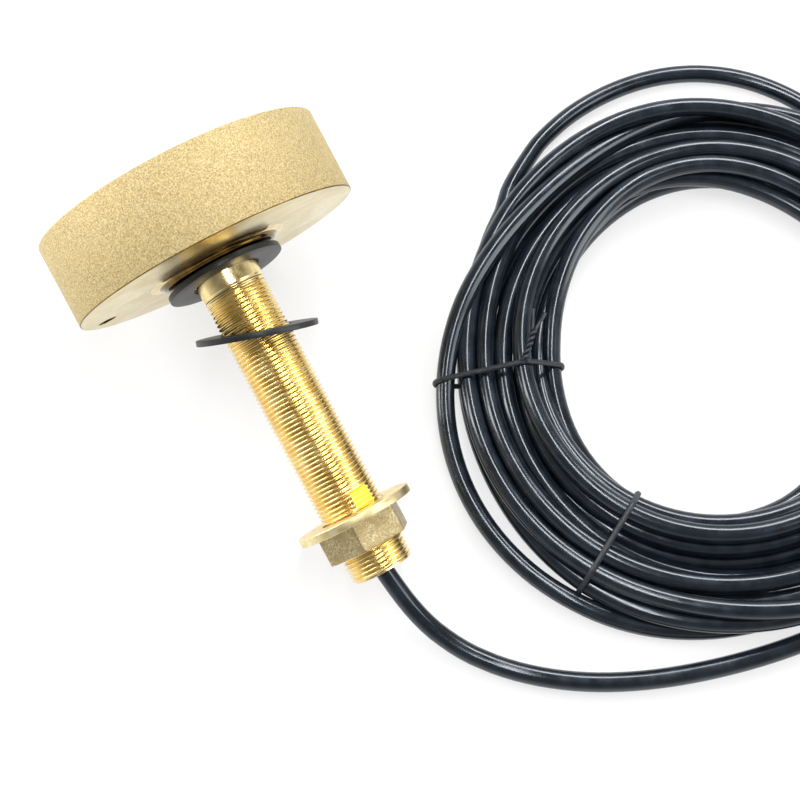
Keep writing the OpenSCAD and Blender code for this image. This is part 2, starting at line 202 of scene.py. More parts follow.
def lathe(name, profile, steps):
    """Spins a profile of radius and height round the z axis."""
    made = draw_profile(name, profile)
    bpy.ops.mesh.select_all(action="SELECT")
    bpy.ops.mesh.spin(steps=steps, angle=2 * math.pi, center=(0, 0, 0), axis=(0, 0, 1))
    bpy.ops.mesh.select_all(action="SELECT")
    bpy.ops.mesh.remove_doubles(threshold=weld)
    bpy.ops.mesh.normals_make_consistent(inside=False)
    bpy.ops.object.mode_set(mode="OBJECT")
    return made


def use_modifier(piece, kind, **settings):
    """Adds a modifier to a piece and applies it."""
    bpy.context.view_layer.objects.active = piece
    modifier = piece.modifiers.new(kind.title(), kind)
    for name, value in settings.items():
        setattr(modifier, name, value)
    bpy.ops.object.modifier_apply(modifier=modifier.name)


def settle(piece, place, smooth_angle=35):
    """Puts a piece at its place, with the place in its mesh, and smooths its round faces."""
    bpy.ops.object.select_all(action="DESELECT")
    piece.select_set(True)
    bpy.context.view_layer.objects.active = piece
    piece.matrix_world = place @ piece.matrix_world
    bpy.ops.object.transform_apply(location=True, rotation=True, scale=True)
    bpy.ops.object.shade_smooth_by_angle(angle=math.radians(smooth_angle))


def span(node):
    """How far along the stem a node starts and ends."""
    corners = frame["nodes"][node].data.vertices
    reach = [(vertex.co - face_at).dot(stem_dir) for vertex in corners]
    return min(reach), max(reach)


def round_size(node):
    """The least and the greatest distance of a node's points from the stem's axis."""
    corners = frame["nodes"][node].data.vertices
    flat = [(vertex.co - face_at).cross(stem_dir).length for vertex in corners]
    return min(flat), max(flat)


head_foot, boss_top = span("head_housing")
stem_hole_r, head_r = round_size("head_housing")
window_room = 0.1 * mm
cavity_r = round_size("acoustic_window")[1] + window_room
boss_h = 4 * mm
head_top = boss_top - boss_h
boss_foot_r = 31 * mm
boss_r = 29 * mm
fillet_h = 3 * mm
fillet_w = 6.5 * mm
fillet_points = 9
edge_break = 0.5 * mm
head_steps = 256
cavity_top = span("stem_seal_ring")[1]
fillet = [
    (boss_foot_r + fillet_w * (1 - math.sin(turn)), head_top + fillet_h * (1 - math.cos(turn)))
    for turn in np.radians(np.linspace(0, 90, fillet_points))
]
head = lathe("head_shell", [
    (cavity_r, head_foot), (head_r, head_foot), (head_r, head_top), *fillet,
    (boss_r, boss_top), (stem_hole_r, boss_top), (stem_hole_r, cavity_top), (cavity_r, cavity_top),
    (cavity_r, head_foot),
], head_steps)
use_modifier(head, "BEVEL", width=edge_break, segments=3, limit_method="ANGLE",
             angle_limit=math.radians(50))
hole = mounts["anti_rotation_hole"]
hole_r = hole["dims"]["r_mm"] * mm
hole_at = lay.inverted() @ Vector(hole["pos_m"])
hole_depth = 9 * mm
countersink = 0.4 * mm
drill_steps = 64
drill = lathe("drill", [
    (0, head_top - hole_depth), (hole_r, head_top - hole_depth), (hole_r, head_top - countersink),
    (hole_r + 3 * countersink, head_top + 2 * countersink), (0, head_top + 2 * countersink),
], drill_steps)
drill.data.transform(Matrix.Translation((hole_at.x, hole_at.y, 0)))
use_modifier(head, "BOOLEAN", object=drill, operation="DIFFERENCE", solver="EXACT")
bpy.data.objects.remove(drill)
finishes = {
    "cast": cast_bronze(),
    "turned": turned_bronze(),
    "polished": grained("polished_bronze", colour(222, 190, 106), colour(242, 220, 152), 6 * mm,
                        (0.1, 0.2), 1.0),
    # The boss wall's dark brown colour is painted shade, a painted dark reflection in place of the dark
    # room that its polished wall mirrors.
    "boss wall": grained("painted_shade_boss_bronze", colour(70, 52, 24), colour(124, 96, 46), 6 * mm,
                         (0.08, 0.16), 1.0),
    # A darker band on the broken edge between the cast side and the turned face.
    "edge": grained("darker_rim_edge", colour(104, 76, 34), colour(150, 116, 58), 6 * mm, (0.3, 0.4), 1.0),
    # The hole's dark brown colour is painted shade inside the recess of the drilled hole.
    "hole": grained("painted_shade_hole_bronze", colour(58, 36, 16), colour(128, 92, 50), 2.2 * mm, (0.4, 0.55), 0.6),
}
wall_reach = boss_foot_r + 0.35 * fillet_w
wall_rise = 0.25 * fillet_h
hole_reach = hole_r + 0.1 * edge_break
finish_of = {name: place for place, name in enumerate(finishes)}
for finish in finishes.values():
    head.data.materials.append(finish)
for face in head.data.polygons:
    middle = face.center
    from_axis = math.hypot(middle.x, middle.y)
    from_hole = (middle - hole_at).xy.length
    below = head_top - middle.z
    if from_axis < wall_reach and below < -wall_rise:
        finish = "boss wall"
    elif from_axis < boss_foot_r + fillet_w - edge_break:
        finish = "polished"
    elif from_hole < hole_reach and below > edge_break:
        finish = "hole"
    elif from_axis > head_r - edge_break and 0 < below < edge_break:
        finish = "edge"
    elif below < edge_break or from_hole < hole_r + 2 * countersink:
        finish = "turned"
    else:
        finish = "cast"
    face.material_index = finish_of[finish]
settle(head, lay)
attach(head, "transducer")
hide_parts("head_housing")

# Acoustic stack: seven fired ceramic discs in a pocketed cork plate, with cork round them and a cork
# pad behind. They are bonded into the head, with a small sensor capsule beside them.


def dress(finish, *nodes):
    """Gives CAD nodes their finish."""
    for node in nodes:
        for place in frame["nodes"][node].material_slots:
            place.material = finish


def cut_cork():
    material, start, coords = new_finish("cut_cork")
    granules = coords.node("TexVoronoi", {}, {"Vector": coords, "Scale": 1 / (1.8 * mm)}, out="Color")
    shade = start.node("SeparateColor", {}, {0: granules}, out=0)
    fine = noise(coords, 0.6 * mm)
    mottled = between(0.6 * shade + 0.4 * fine, 0.2, 0.8)
    tone = blended(mottled, colour(124, 84, 46), colour(198, 152, 100))
    surface(start, {
        "Base Color": tone, "Roughness": between(fine, 0.3, 0.7, 0.75, 0.9),
        "Normal": bumps(fine, 0.4, 0.2 * mm),
    })
    return material


nickel = grained("nickel_plate", colour(164, 163, 158), colour(206, 205, 200), 4 * mm, (0.16, 0.3), 1.0)
ceramic = grained("fired_ceramic", colour(206, 198, 178), colour(234, 228, 212), 1.2 * mm, (0.35, 0.5),
                  relief=0.02 * mm)
dress(cut_cork(), "liner_ring", "element_carrier", "backing_pad")
dress(ceramic, "centre_element", "ring_elements")
dress(nickel, "temperature_sensor")

# Wiring: copper leads from the discs to a round laminate board, with the wound ring that tunes them
# and the four cores of the cable soldered to it.
copper = grained("drawn_copper", colour(150, 84, 42), colour(214, 142, 92), 1.5 * mm, (0.2, 0.36), 1.0)
laminate = grained("coated_laminate", colour(20, 66, 34), colour(34, 94, 50), 3 * mm, (0.25, 0.4),
                   relief=0.02 * mm)
dress(copper, "element_leads", "tuning_coil", "cable_cores")
dress(laminate, "terminal_board")

# Filling and face: epoxy poured in behind the stack, and a cast urethane face over it, flush with the
# rim, that lets the sound through.
epoxy = grained("poured_epoxy", colour(50, 42, 34), colour(86, 74, 60), 5 * mm, (0.2, 0.4),
                relief=0.05 * mm)
urethane = grained("cast_urethane", colour(26, 28, 32), colour(50, 53, 58), 2 * mm, (0.4, 0.58),
                   relief=0.06 * mm)
dress(epoxy, "potting")
dress(urethane, "acoustic_window")

# Stem: a brass tube with a right-hand pipe thread cut along it, 2.309 mm to the turn. A plain collar
# is left at the head, and the tube is bored for the cable. A flange holds it inside the head.
thread_pitch = 2.309 * mm
thread_depth = 0.58 * thread_pitch
nut_room = 0.1 * mm
thread_r = round_size("hull_nut")[0] - nut_room
root_r = thread_r - thread_depth
crest_r = thread_r - 0.02 * mm
runout = 2.5 * thread_pitch
stem_foot, stem_end = span("stem")
stem_bore_r, flange_r = round_size("stem")
flange_top = span("stem_seal_ring")[1]
collar_l = 11.5 * mm
collar_end = boss_top + collar_l
stem_chamfer = 1.2 * mm
bore_chamfer = 0.6 * mm
paint_foot = 177.5 * mm
paint_top = 186.6 * mm
paint_sides = np.radians((137, 176))
paint_fade = 0.06
paint_r = crest_r - 0.25 * thread_depth
thread_steps = 60
rim_gap = 0.1 * mm
cut_threshold = 0.001 * mm


def turned_brass():
    material, start, coords = new_finish("turned_brass")
    patches = noise(coords, 6 * mm)
    tone = blended(between(patches, 0.35, 0.7), colour(239, 209, 137), colour(252, 233, 180))
    ragged = noise(coords, 2.5 * mm, 2.0)
    local = along_stem(coords)
    parts = [start.node("SeparateXYZ", {}, {0: local}, out=axis) for axis in "XYZ"]
    turned_to = start.maths("ARCTAN2", parts[1], parts[0]) + 0.12 * ragged
    height = parts[2] + 2 * mm * ragged
    painted = between(height, paint_foot, paint_foot + 0.5 * mm)
    painted = painted * between(turned_to, paint_sides[0], paint_sides[0] + paint_fade)
    painted = painted * between(turned_to, paint_sides[1], paint_sides[1] + paint_fade, 1.0, 0.0)
    painted = painted * between(parts[2], paint_top, paint_top + 0.3 * mm, 1.0, 0.0)
    surface(start, {
        "Base Color": blended(painted, tone, colour(250, 220, 70)), "Metallic": 1 - painted,
        "Roughness": between(patches, 0.3, 0.7, 0.18, 0.28) + 0.2 * painted,
    })
    return material


thread_form = (
    (0, 1), (0.07, 0.95), (0.36, 0.12), (0.42, 0.03), (0.53, 0),
    (0.64, 0.03), (0.7, 0.12), (0.99, 0.95), (1, 1),
)
thread = draw_profile("thread", [
    (thread_r - depth_share * thread_depth, collar_end + (pitch_share - 1) * thread_pitch)
    for pitch_share, depth_share in thread_form
])
bpy.ops.object.mode_set(mode="OBJECT")
turns = math.ceil((stem_end - collar_end) / thread_pitch) + 1
use_modifier(thread, "SCREW", screw_offset=thread_pitch, iterations=turns, steps=thread_steps,
             render_steps=thread_steps)
bpy.ops.object.mode_set(mode="EDIT")
bpy.ops.mesh.select_all(action="SELECT")
bpy.ops.mesh.remove_doubles(threshold=weld)
for height, upper in ((collar_end, False), (stem_end - rim_gap, True)):
    bpy.ops.mesh.select_all(action="SELECT")
    bpy.ops.mesh.bisect(plane_co=(0, 0, height), plane_no=(0, 0, 1), clear_inner=not upper,
                        clear_outer=upper, threshold=cut_threshold)
bpy.ops.object.mode_set(mode="OBJECT")
for vertex in thread.data.vertices:
    radius = math.hypot(vertex.co.x, vertex.co.y)
    filled = 1 - min((vertex.co.z - collar_end) / runout, 1)
    wanted = max(radius, root_r + filled * (crest_r - root_r))
    turned_to = math.atan2(vertex.co.y, vertex.co.x)
    if paint_foot < vertex.co.z < paint_top and paint_sides[0] < turned_to < paint_sides[1]:
        wanted = max(wanted, paint_r)
    wanted = min(wanted, thread_r - stem_chamfer + stem_end - vertex.co.z)
    vertex.co.xy *= wanted / radius
tube = lathe("threaded_stem", [
    (stem_bore_r, stem_foot), (flange_r, stem_foot), (flange_r, flange_top), (thread_r, flange_top),
    (thread_r, collar_end - rim_gap),
], thread_steps)
bore = lathe("stem_bore", [
    (root_r - rim_gap, stem_end), (stem_bore_r + bore_chamfer, stem_end),
    (stem_bore_r, stem_end - bore_chamfer), (stem_bore_r, stem_foot),
], thread_steps)
bpy.ops.object.select_all(action="DESELECT")
for part in (thread, bore, tube):
    part.select_set(True)
bpy.context.view_layer.objects.active = tube
bpy.ops.object.join()
bpy.ops.object.mode_set(mode="EDIT")
bpy.ops.mesh.select_all(action="SELECT")
bpy.ops.mesh.remove_doubles(threshold=weld)
bpy.ops.mesh.select_mode(type="EDGE")
for height in (collar_end, stem_end):
    bpy.ops.mesh.select_all(action="DESELECT")
    bpy.ops.object.mode_set(mode="OBJECT")
    edge_uses = [corner.edge_index for corner in tube.data.loops]
    faces_at = np.bincount(edge_uses, minlength=len(tube.data.edges))
    for edge in tube.data.edges:
        off_rim = max(abs(tube.data.vertices[end].co.z - height) for end in edge.vertices)
        edge.select = bool(faces_at[edge.index] == 1) and off_rim < 2 * rim_gap
    bpy.ops.object.mode_set(mode="EDIT")
    bpy.ops.mesh.bridge_edge_loops()
bpy.ops.mesh.select_all(action="SELECT")
bpy.ops.mesh.normals_make_consistent(inside=False)
bpy.ops.object.mode_set(mode="OBJECT")
tube.data.materials.append(turned_brass())
settle(tube, lay, 50)
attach(tube, "transducer")
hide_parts("stem")
seal = grained("seal_rubber", colour(24, 24, 26), colour(44, 44, 46), 1.2 * mm, (0.5, 0.7),
               relief=0.04 * mm)
dress(seal, "stem_seal_ring", "cable_seal")

# Rubber washers: flat rings, 62.5 mm across and 3 mm thick, punched from moulded sheet. One hangs
# against the boss and one leans on the thread, where they were left loose on the stem.


def seat(node):
    """Where a ring lies: its middle, with z along its own axis."""
    points = np.array([vertex.co for vertex in frame["nodes"][node].data.vertices])
    points = np.unique(points.round(6), axis=0)
    turned = np.linalg.svd(points - points.mean(axis=0), full_matrices=False)[2]
    axis = Vector(turned[2])
    if axis.dot(stem_dir) < 0:
        axis = -axis
    reach = points @ turned.T
    middle = Vector(turned.T @ ((reach.min(axis=0) + reach.max(axis=0)) / 2))
    side = across_dir.cross(axis).normalized()
    return Matrix.Translation(middle) @ Matrix((side, axis.cross(side), axis)).transposed().to_4x4()


def moulded_rubber():
    material, start, coords = new_finish("moulded_rubber")
    grain = noise(coords, 0.5 * mm)
    dust = noise(coords, 7 * mm, 4.0)
    tone = blended(between(dust, 0.4, 0.72), colour(22, 25, 30), colour(42, 43, 45))
    surface(start, {
        "Base Color": tone, "Roughness": between(grain, 0.3, 0.7, 0.32, 0.46),
        "Normal": bumps(grain, 0.15, 0.06 * mm),
    })
    return material


rubber = moulded_rubber()
rubber_edge = 0.35 * mm
rubber_steps = 128
for node in ("head_washer", "loose_washer"):
    place = seat(node)
    points = [place.inverted() @ vertex.co for vertex in frame["nodes"][node].data.vertices]
    outer_r = max(point.xy.length for point in points)
    inner_r = min(point.xy.length for point in points)
    half_t = max(point.z for point in points)
    washer = lathe(node + "_rubber", [
        (inner_r, -half_t), (outer_r, -half_t), (outer_r, half_t), (inner_r, half_t), (inner_r, -half_t),
    ], rubber_steps)
    use_modifier(washer, "BEVEL", width=rubber_edge, segments=3, limit_method="ANGLE")
    washer.data.materials.append(rubber)
    settle(washer, place)
    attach(washer, "transducer")
    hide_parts(node)

# Hull washer: a brass ring turned from bar, 62 mm across and 4.2 mm thick, with its edges broken. It
# lies against the nut and spreads its load on the hull.


def satin_brass():
    material, start, coords = new_finish("satin_brass")
    local = along_stem(coords)
    height = local.node("SeparateXYZ", {}, {0: local}, out="Z")
    rings = start.node("CombineXYZ", {}, {"X": stem_distance(local), "Z": height})
    lines = noise(rings, 0.4 * mm, 4.0)
    patches = noise(coords, 5 * mm, 4.0)
    tone = blended(between(patches, 0.35, 0.7), colour(226, 204, 146), colour(250, 237, 194))
    surface(start, {
        "Base Color": tone, "Metallic": 1.0, "Roughness": between(lines, 0.3, 0.7, 0.34, 0.5),
        "Normal": bumps(lines, 0.2, 0.05 * mm),
    })
    return material


ring_foot, ring_top = span("hull_washer")
ring_bore_r, ring_r = round_size("hull_washer")
ring_edge = 0.45 * mm
ring_steps = 160
ring = lathe("hull_ring", [
    (ring_bore_r, ring_foot), (ring_r, ring_foot), (ring_r, ring_top), (ring_bore_r, ring_top),
    (ring_bore_r, ring_foot),
], ring_steps)
use_modifier(ring, "BEVEL", width=ring_edge, segments=3, limit_method="ANGLE")
ring.data.materials.append(satin_brass())
settle(ring, lay)
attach(ring, "washer")
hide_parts("hull_washer")

# Hull nut: a cast brass hexagon, 41 mm across its flats, tapped for the stem. Its corners are turned
# off on the outer side, and its flats are as they left the sand.


def rough_brass():
    material, start, coords = new_finish("rough_brass")
    grain = noise(coords, 0.9 * mm)
    fine = noise(coords, 0.35 * mm, 2.0)
    patches = noise(coords, 7 * mm, 4.0)
    tone = between(0.6 * grain + 0.4 * fine, 0.36, 0.64)
    sandy = blended(tone, colour(132, 112, 72), colour(236, 221, 176))
    aged = blended(between(patches, 0.4, 0.68), sandy, colour(169, 149, 105))
    surface(start, {
        "Base Color": aged, "Metallic": 0.95, "Roughness": between(fine, 0.3, 0.7, 0.32, 0.5),
        "Normal": bumps(grain + fine, 0.6, 0.2 * mm),
    })
    return material


nut_voxel = 0.42 * mm
cast_size = 1.6 * mm
cast_height = 0.18 * mm
nut = frame["nodes"]["hull_nut"].copy()
nut.data = nut.data.copy()
nut.name = "cast_nut"
nut.parent = None
bpy.context.collection.objects.link(nut)
bpy.ops.object.select_all(action="DESELECT")
nut.select_set(True)
bpy.context.view_layer.objects.active = nut
bpy.ops.object.mode_set(mode="EDIT")
bpy.ops.mesh.select_all(action="SELECT")
bpy.ops.mesh.remove_doubles(threshold=weld)
bpy.ops.object.mode_set(mode="OBJECT")
use_modifier(nut, "REMESH", mode="VOXEL", voxel_size=nut_voxel)
use_modifier(nut, "SMOOTH", factor=0.5, iterations=3)
cast_bumps = bpy.data.textures.new("cast_bumps", "CLOUDS")
cast_bumps.noise_scale = cast_size
use_modifier(nut, "DISPLACE", texture=cast_bumps, strength=cast_height, mid_level=0.5,
             texture_coords="LOCAL")
nut.data.materials.clear()
nut.data.materials.append(rough_brass())
settle(nut, Matrix(), 60)
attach(nut, "nut")
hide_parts("hull_nut")

# Cable: ten metres of round cable with a smooth black jacket, 10 mm across. It leaves the end of the
# stem, goes round to the outside of a hand-wound coil and ends in a plug inside the coil.
cable_d = 10 * mm
cable_r = cable_d / 2
cable_exit = np.array(face_at + stem_end * stem_dir)
plug_at = np.array((163, 256, 11)) * mm
plug_angle = math.radians(145)
plug_dir = np.array((math.cos(plug_angle), math.sin(plug_angle), 0))
tie_t = 1.8 * mm
tie_w = 3 * mm
tie_angles = {"tie_left": 248, "tie_low": 298}


def on_table(points):
    """Chosen points in millimetres, each with its height over the resting height of the cable."""
    return np.array(points) * mm + np.array((0, 0, cable_r))


lead_points = on_table([
    (143, 2, 7), (158, 7, 2.5), (174, 17, 0), (190, 31, 0), (206, 50, 0), (219, 71, 0), (230, 96, 0),
    (239, 123, 0), (246, 150, 0), (252, 178, 0), (254, 205, 0), (252, 232, 0), (245, 258, 0),
])
loop_top_points = on_table([
    (34, 354, 5), (4, 350, 2), (-22, 338, 0), (-44, 320, 0), (-58, 296, 0), (-66, 268, 0),
    (-67, 240, 0), (-62, 212, 0), (-52, 185, 3), (-38, 160, 7),
])
loop_low_points = on_table([
    (11, 103, 10), (29, 85, 8), (51, 71, 4), (78, 60, 0), (108, 57, 0), (137, 60, 0), (162, 69, 0),
    (184, 82, 0), (204, 102, 0), (219, 125, 0), (230, 150, 0), (236, 176, 2), (239, 200, 7),
])
tail_points = on_table([(193, 210, 0), (188, 228, 1), (180, 241, 3.5)])
over_points = on_table([
    (166, 84, 3), (188, 97, 6), (207, 115, 9), (220, 137, 9.5), (232, 159, 9.5), (237, 174, 9.5),
])
coil_centre = np.array((98, 221)) * mm
coil_start = 22
coil_turns = 12
coil_left_over = 30
change_start = 0.15
change_length = 0.7
bundle_angles = (0, 20, 55, 90, 113, 129, 144, 160, 174, 190, 215, 240, 270, 300, 330)
bundle_inside = np.array((87, 92, 94, 93, 84, 92, 100, 103, 103, 98, 95, 94, 99, 102, 96)) * mm
bundle_outside = np.array((147, 147, 147, 149, 152, 155, 155, 152, 146, 140, 143, 150, 152, 152, 149)) * mm
turn_slots = np.array([
    (1, 5), (0.75, 5), (0.5, 5), (0.25, 5), (0.12, 14), (0.38, 14), (0.63, 14), (0.88, 14),
    (0.7, 22), (0.98, 15), (0.5, 22), (0.28, 22), (0, 6),
]) * np.array((1, mm))
mean_coil_r = 122 * mm
step = 6 * mm


def smooth_step(share):
    """Eases a share from 0 to 1."""
    share = np.clip(share, 0, 1)
    return share * share * (3 - 2 * share)


def round_coil(points):
    """Angle, distance and height of points round the coil's centre."""
    flat = points[:, :2] - coil_centre
    return np.degrees(np.arctan2(flat[:, 1], flat[:, 0])) % 360, np.hypot(*flat.T), points[:, 2]


coil_stop = coil_start + 360 * coil_turns - coil_left_over
wound = np.arange(coil_start, coil_stop, math.degrees(step / mean_coil_r))
turn = ((wound - coil_start) / 360).astype(int)
past_turn = (wound - coil_start) / 360 - turn
share = smooth_step((past_turn - change_start) / change_length)[:, None]
slot = turn_slots[turn] * (1 - share) + turn_slots[turn + 1] * share
inside = np.interp(wound, bundle_angles, bundle_inside, period=360)
outside = np.interp(wound, bundle_angles, bundle_outside, period=360)
radius = inside + slot[:, 0] * (outside - inside)
for sway, pace, start in ((2 * mm, 1.31, 1.3), (1.2 * mm, 2.17, 0)):
    radius = radius + sway * np.sin(np.radians(pace * wound) + start)
height = slot[:, 1]
held = np.zeros(len(wound))
loop_fade = 25
sprung_loops = ((loop_top_points, 0, 4 * mm), (over_points, 0, 2 * mm), (loop_low_points, 9, 0))
for loop_points, loop_turn, spring in sprung_loops:
    angle, loop_radius, loop_height = round_coil(loop_points)
    angle = angle + 360 * loop_turn
    loop_radius = loop_radius + spring
    within = np.minimum(wound - angle[0], angle[-1] - wound)
    share = smooth_step(1 + within / loop_fade)
    radius = radius * (1 - share) + np.interp(wound, angle, loop_radius) * share
    height = height * (1 - share) + np.interp(wound, angle, loop_height) * share
    held[within >= 0] = 1
round_dirs = np.column_stack((np.cos(np.radians(wound)), np.sin(np.radians(wound))))
coil_points = np.column_stack((coil_centre + radius[:, None] * round_dirs, height))
straight_out = 15 * mm
straight_in = 8 * mm
first_points = [cable_exit, cable_exit + straight_out * np.array(stem_dir)]
last_points = [plug_at - straight_in * plug_dir, plug_at]
route = np.vstack((first_points, lead_points, coil_points, tail_points, last_points))
held = np.concatenate((np.ones(2 + len(lead_points)), held, np.ones(len(tail_points) + 2)))
so_far = np.concatenate(([0], np.cumsum(np.linalg.norm(np.diff(route, axis=0), axis=1))))
even = np.linspace(0, so_far[-1], round(so_far[-1] / step) + 1)
route = np.column_stack([np.interp(even, so_far, part) for part in route.T])
held = np.interp(even, so_far, held)[:, None]
smoothings = 30
for _ in range(smoothings):
    route[1:-1] = 0.5 * route[1:-1] + 0.25 * (route[:-2] + route[2:])


def near_pairs(points, reach, batch=400, neighbours=5):
    """Pairs of points that lie within a distance, but are not neighbours along the cable."""
    pairs = []
    for start in range(0, len(points), batch):
        apart = np.linalg.norm(points[start:start + batch, None] - points[None], axis=2)
        first, second = np.nonzero(apart < reach)
        pairs.append(np.column_stack((first + start, second)))
    pairs = np.vstack(pairs)
    return pairs[pairs[:, 1] > pairs[:, 0] + neighbours].T


goal = route.copy()
loose_pull = 0.02
held_pull = 0.3
pull_axes = np.array((1, 1, 0.3))
pull = (loose_pull + held_pull * held) * pull_axes
strand_gap = 1.03 * cable_d
search_room = 4 * mm
search_rounds = 10
push_share = 0.7
tie_spread = 9
tie_room = 1.1 * tie_t
rounds = 560
sag = 0.05 * mm
stiffness = 0.04
tie_lift = np.zeros(len(route))
for angle in tie_angles.values():
    off_angle = (round_coil(route)[0] - angle + 180) % 360 - 180
    tie_lift = np.maximum(tie_lift, tie_room * np.exp(-(off_angle / tie_spread) ** 2))
for tries in range(rounds):
    if tries % search_rounds == 0:
        first, second = near_pairs(route, strand_gap + search_room)
    ahead = np.gradient(route, axis=0)
    ahead /= np.linalg.norm(ahead, axis=1)[:, None]
    apart = route[second] - route[first]
    along = np.sum(apart * ahead[first], axis=1)
    across = apart - along[:, None] * ahead[first]
    across[np.abs(across[:, 2]) < 0.4 * cable_d, 2] += 0.2 * cable_d
    distance = np.linalg.norm(across, axis=1) + 1e-9
    close = (distance < strand_gap) & (np.abs(along) < step)
    push = (0.5 * (strand_gap - distance) / distance)[close, None] * across[close]
    moved = np.zeros_like(route)
    count = np.zeros(len(route))
    for ends, sign in ((second[close], 1), (first[close], -1)):
        np.add.at(moved, ends, sign * push)
        np.add.at(count, ends, 1)
    route += push_share * moved / np.maximum(count, 1)[:, None]
    route += pull * (goal - route)
    angle, distance, _ = round_coil(route)
    nearest = np.interp(angle, bundle_angles, bundle_inside, period=360)
    furthest = np.interp(angle, bundle_angles, bundle_outside, period=360)
    back = (1 - held[:, 0]) * (np.clip(distance, nearest, furthest) / distance - 1)
    route[:, :2] += back[:, None] * (route[:, :2] - coil_centre)
    route[:, 2] -= sag
    for reach in (1, 2, 4, 6):
        bend = (route[:-4 * reach] + route[4 * reach:] + 6 * route[2 * reach:-2 * reach]
                - 4 * route[reach:-3 * reach] - 4 * route[3 * reach:-reach])
        route[2 * reach:-2 * reach] -= stiffness * bend
    route[:, 2] = np.maximum(route[:, 2], cable_r + tie_lift)
    route[:3] = goal[:3]
    route[-4:] = goal[-4:]


def cable_jacket():
    material, start, coords = new_finish("cable_jacket")
    scuffs = noise(coords, 9 * mm, 4.0)
    grain = noise(coords, 0.8 * mm, 2.0)
    tone = blended(between(scuffs, 0.4, 0.75), colour(16, 21, 29), colour(29, 37, 47))
    surface(start, {
        "Base Color": tone, "Roughness": between(scuffs, 0.3, 0.75, 0.13, 0.24),
        "Normal": bumps(grain, 0.05, 0.05 * mm), "Specular Tint": (0.88, 0.95, 1, 1), "IOR": 1.62,
    })
    return material


def wire_curve(name, points, thickness, sides=24, closed=False):
    """A round wire along a line of points."""
    curve = bpy.data.curves.new(name, "CURVE")
    curve.dimensions = "3D"
    curve.bevel_depth = thickness / 2
    curve.bevel_resolution = sides // 2 - 2
    curve.use_fill_caps = True
    line = curve.splines.new("POLY")
    line.points.add(len(points) - 1)
    line.points.foreach_set("co", np.column_stack((points, np.ones(len(points)))).ravel())
    line.use_cyclic_u = closed
    line.use_smooth = True
    made = bpy.data.objects.new(name, curve)
    bpy.context.collection.objects.link(made)
    return made


jacket = cable_jacket()
dress(jacket, "cable_in_stem")
cable = wire_curve("cable", route, cable_d)
cable.data.materials.append(jacket)
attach(cable, "transducer")
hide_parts("cable_lead", "cable_coil", "cable_loop_top", "cable_loop_low", "cable_tail")

# Ties: short lengths of plastic-coated wire, bound tight round the bundle to keep the turns together.
# The ends of the left one are twisted together on top, and stand apart at their tips.


def coated_wire():
    material, start, coords = new_finish("coated_wire")
    grain = noise(coords, 2 * mm)
    tone = blended(between(grain, 0.35, 0.7), colour(20, 24, 30), colour(44, 49, 56))
    surface(start, {"Base Color": tone, "Roughness": between(grain, 0.3, 0.7, 0.35, 0.5)})
    return material


tie_finish = coated_wire()
knot_r = 112 * mm
twist_l = 18 * mm
twist_pitch = 7 * mm
tip_l = 11 * mm
tip_spread = 2.5 * mm
twist_angle = math.radians(133)
twist_dir = np.array((math.cos(twist_angle), math.sin(twist_angle), 0))
twist_side = np.array((-twist_dir[1], twist_dir[0], 0))
twist_r = 0.55 * tie_t
tie_sides = 10
tie_turn = 6
twist_points = 60
for name, widest in (("tie_left", 166 * mm), ("tie_low", 157 * mm)):
    angle = math.radians(tie_angles[name])
    out_dir = np.array((math.cos(angle), math.sin(angle)))
    side_dir = np.array((-out_dir[1], out_dir[0]))
    flat = route[:, :2] - coil_centre
    from_centre = flat @ out_dir
    beside = flat @ side_dir
    held_here = (np.abs(beside) < step) & (from_centre > 0) & (from_centre < widest)
    section = np.column_stack((from_centre, route[:, 2]))[held_here]
    band = []
    for side in np.radians(np.arange(0, 360, tie_turn)):
        facing = np.array((math.cos(side), math.sin(side)))
        outermost = section[np.argmax(section @ facing)]
        band.append(outermost + (cable_r + tie_t / 2) * facing)
    band = np.array(band)
    band[:, 1] = np.maximum(band[:, 1], tie_t / 2)
    points = np.column_stack((coil_centre + band[:, :1] * out_dir, band[:, 1]))
    tie = wire_curve(name + "_wire", points, tie_t, tie_sides, closed=True)
    parts = [tie]
    if name == "tie_left":
        top = band[:, 1].max() + tie_t
        knot = np.array((*(coil_centre + knot_r * out_dir), top))
        for half_turn in (0, math.pi):
            ends = []
            for share in np.linspace(0, 1, twist_points):
                run = share * (twist_l + tip_l)
                spread = twist_r + tip_spread * smooth_step((run - twist_l) / tip_l)
                turned = half_turn + 2 * math.pi * min(run, twist_l) / twist_pitch
                ends.append(knot + run * twist_dir + spread * math.cos(turned) * twist_side
                            + np.array((0, 0, twist_r * math.sin(turned))))
            parts.append(wire_curve("tie_end", np.array(ends), tie_t, tie_sides))
    bpy.ops.object.select_all(action="DESELECT")
    for part in parts:
        part.select_set(True)
    bpy.context.view_layer.objects.active = tie
    bpy.ops.object.convert(target="MESH")
    along = Vector((*side_dir, 0))
    middle = Vector((*coil_centre, 0))
    for vertex in tie.data.vertices:
        vertex.co += (tie_w / tie_t - 1) * along.dot(vertex.co - middle) * along
    if len(parts) > 1:
        bpy.ops.object.join()
    tie.data.materials.append(tie_finish)
    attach(tie, "transducer")
    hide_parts(name)

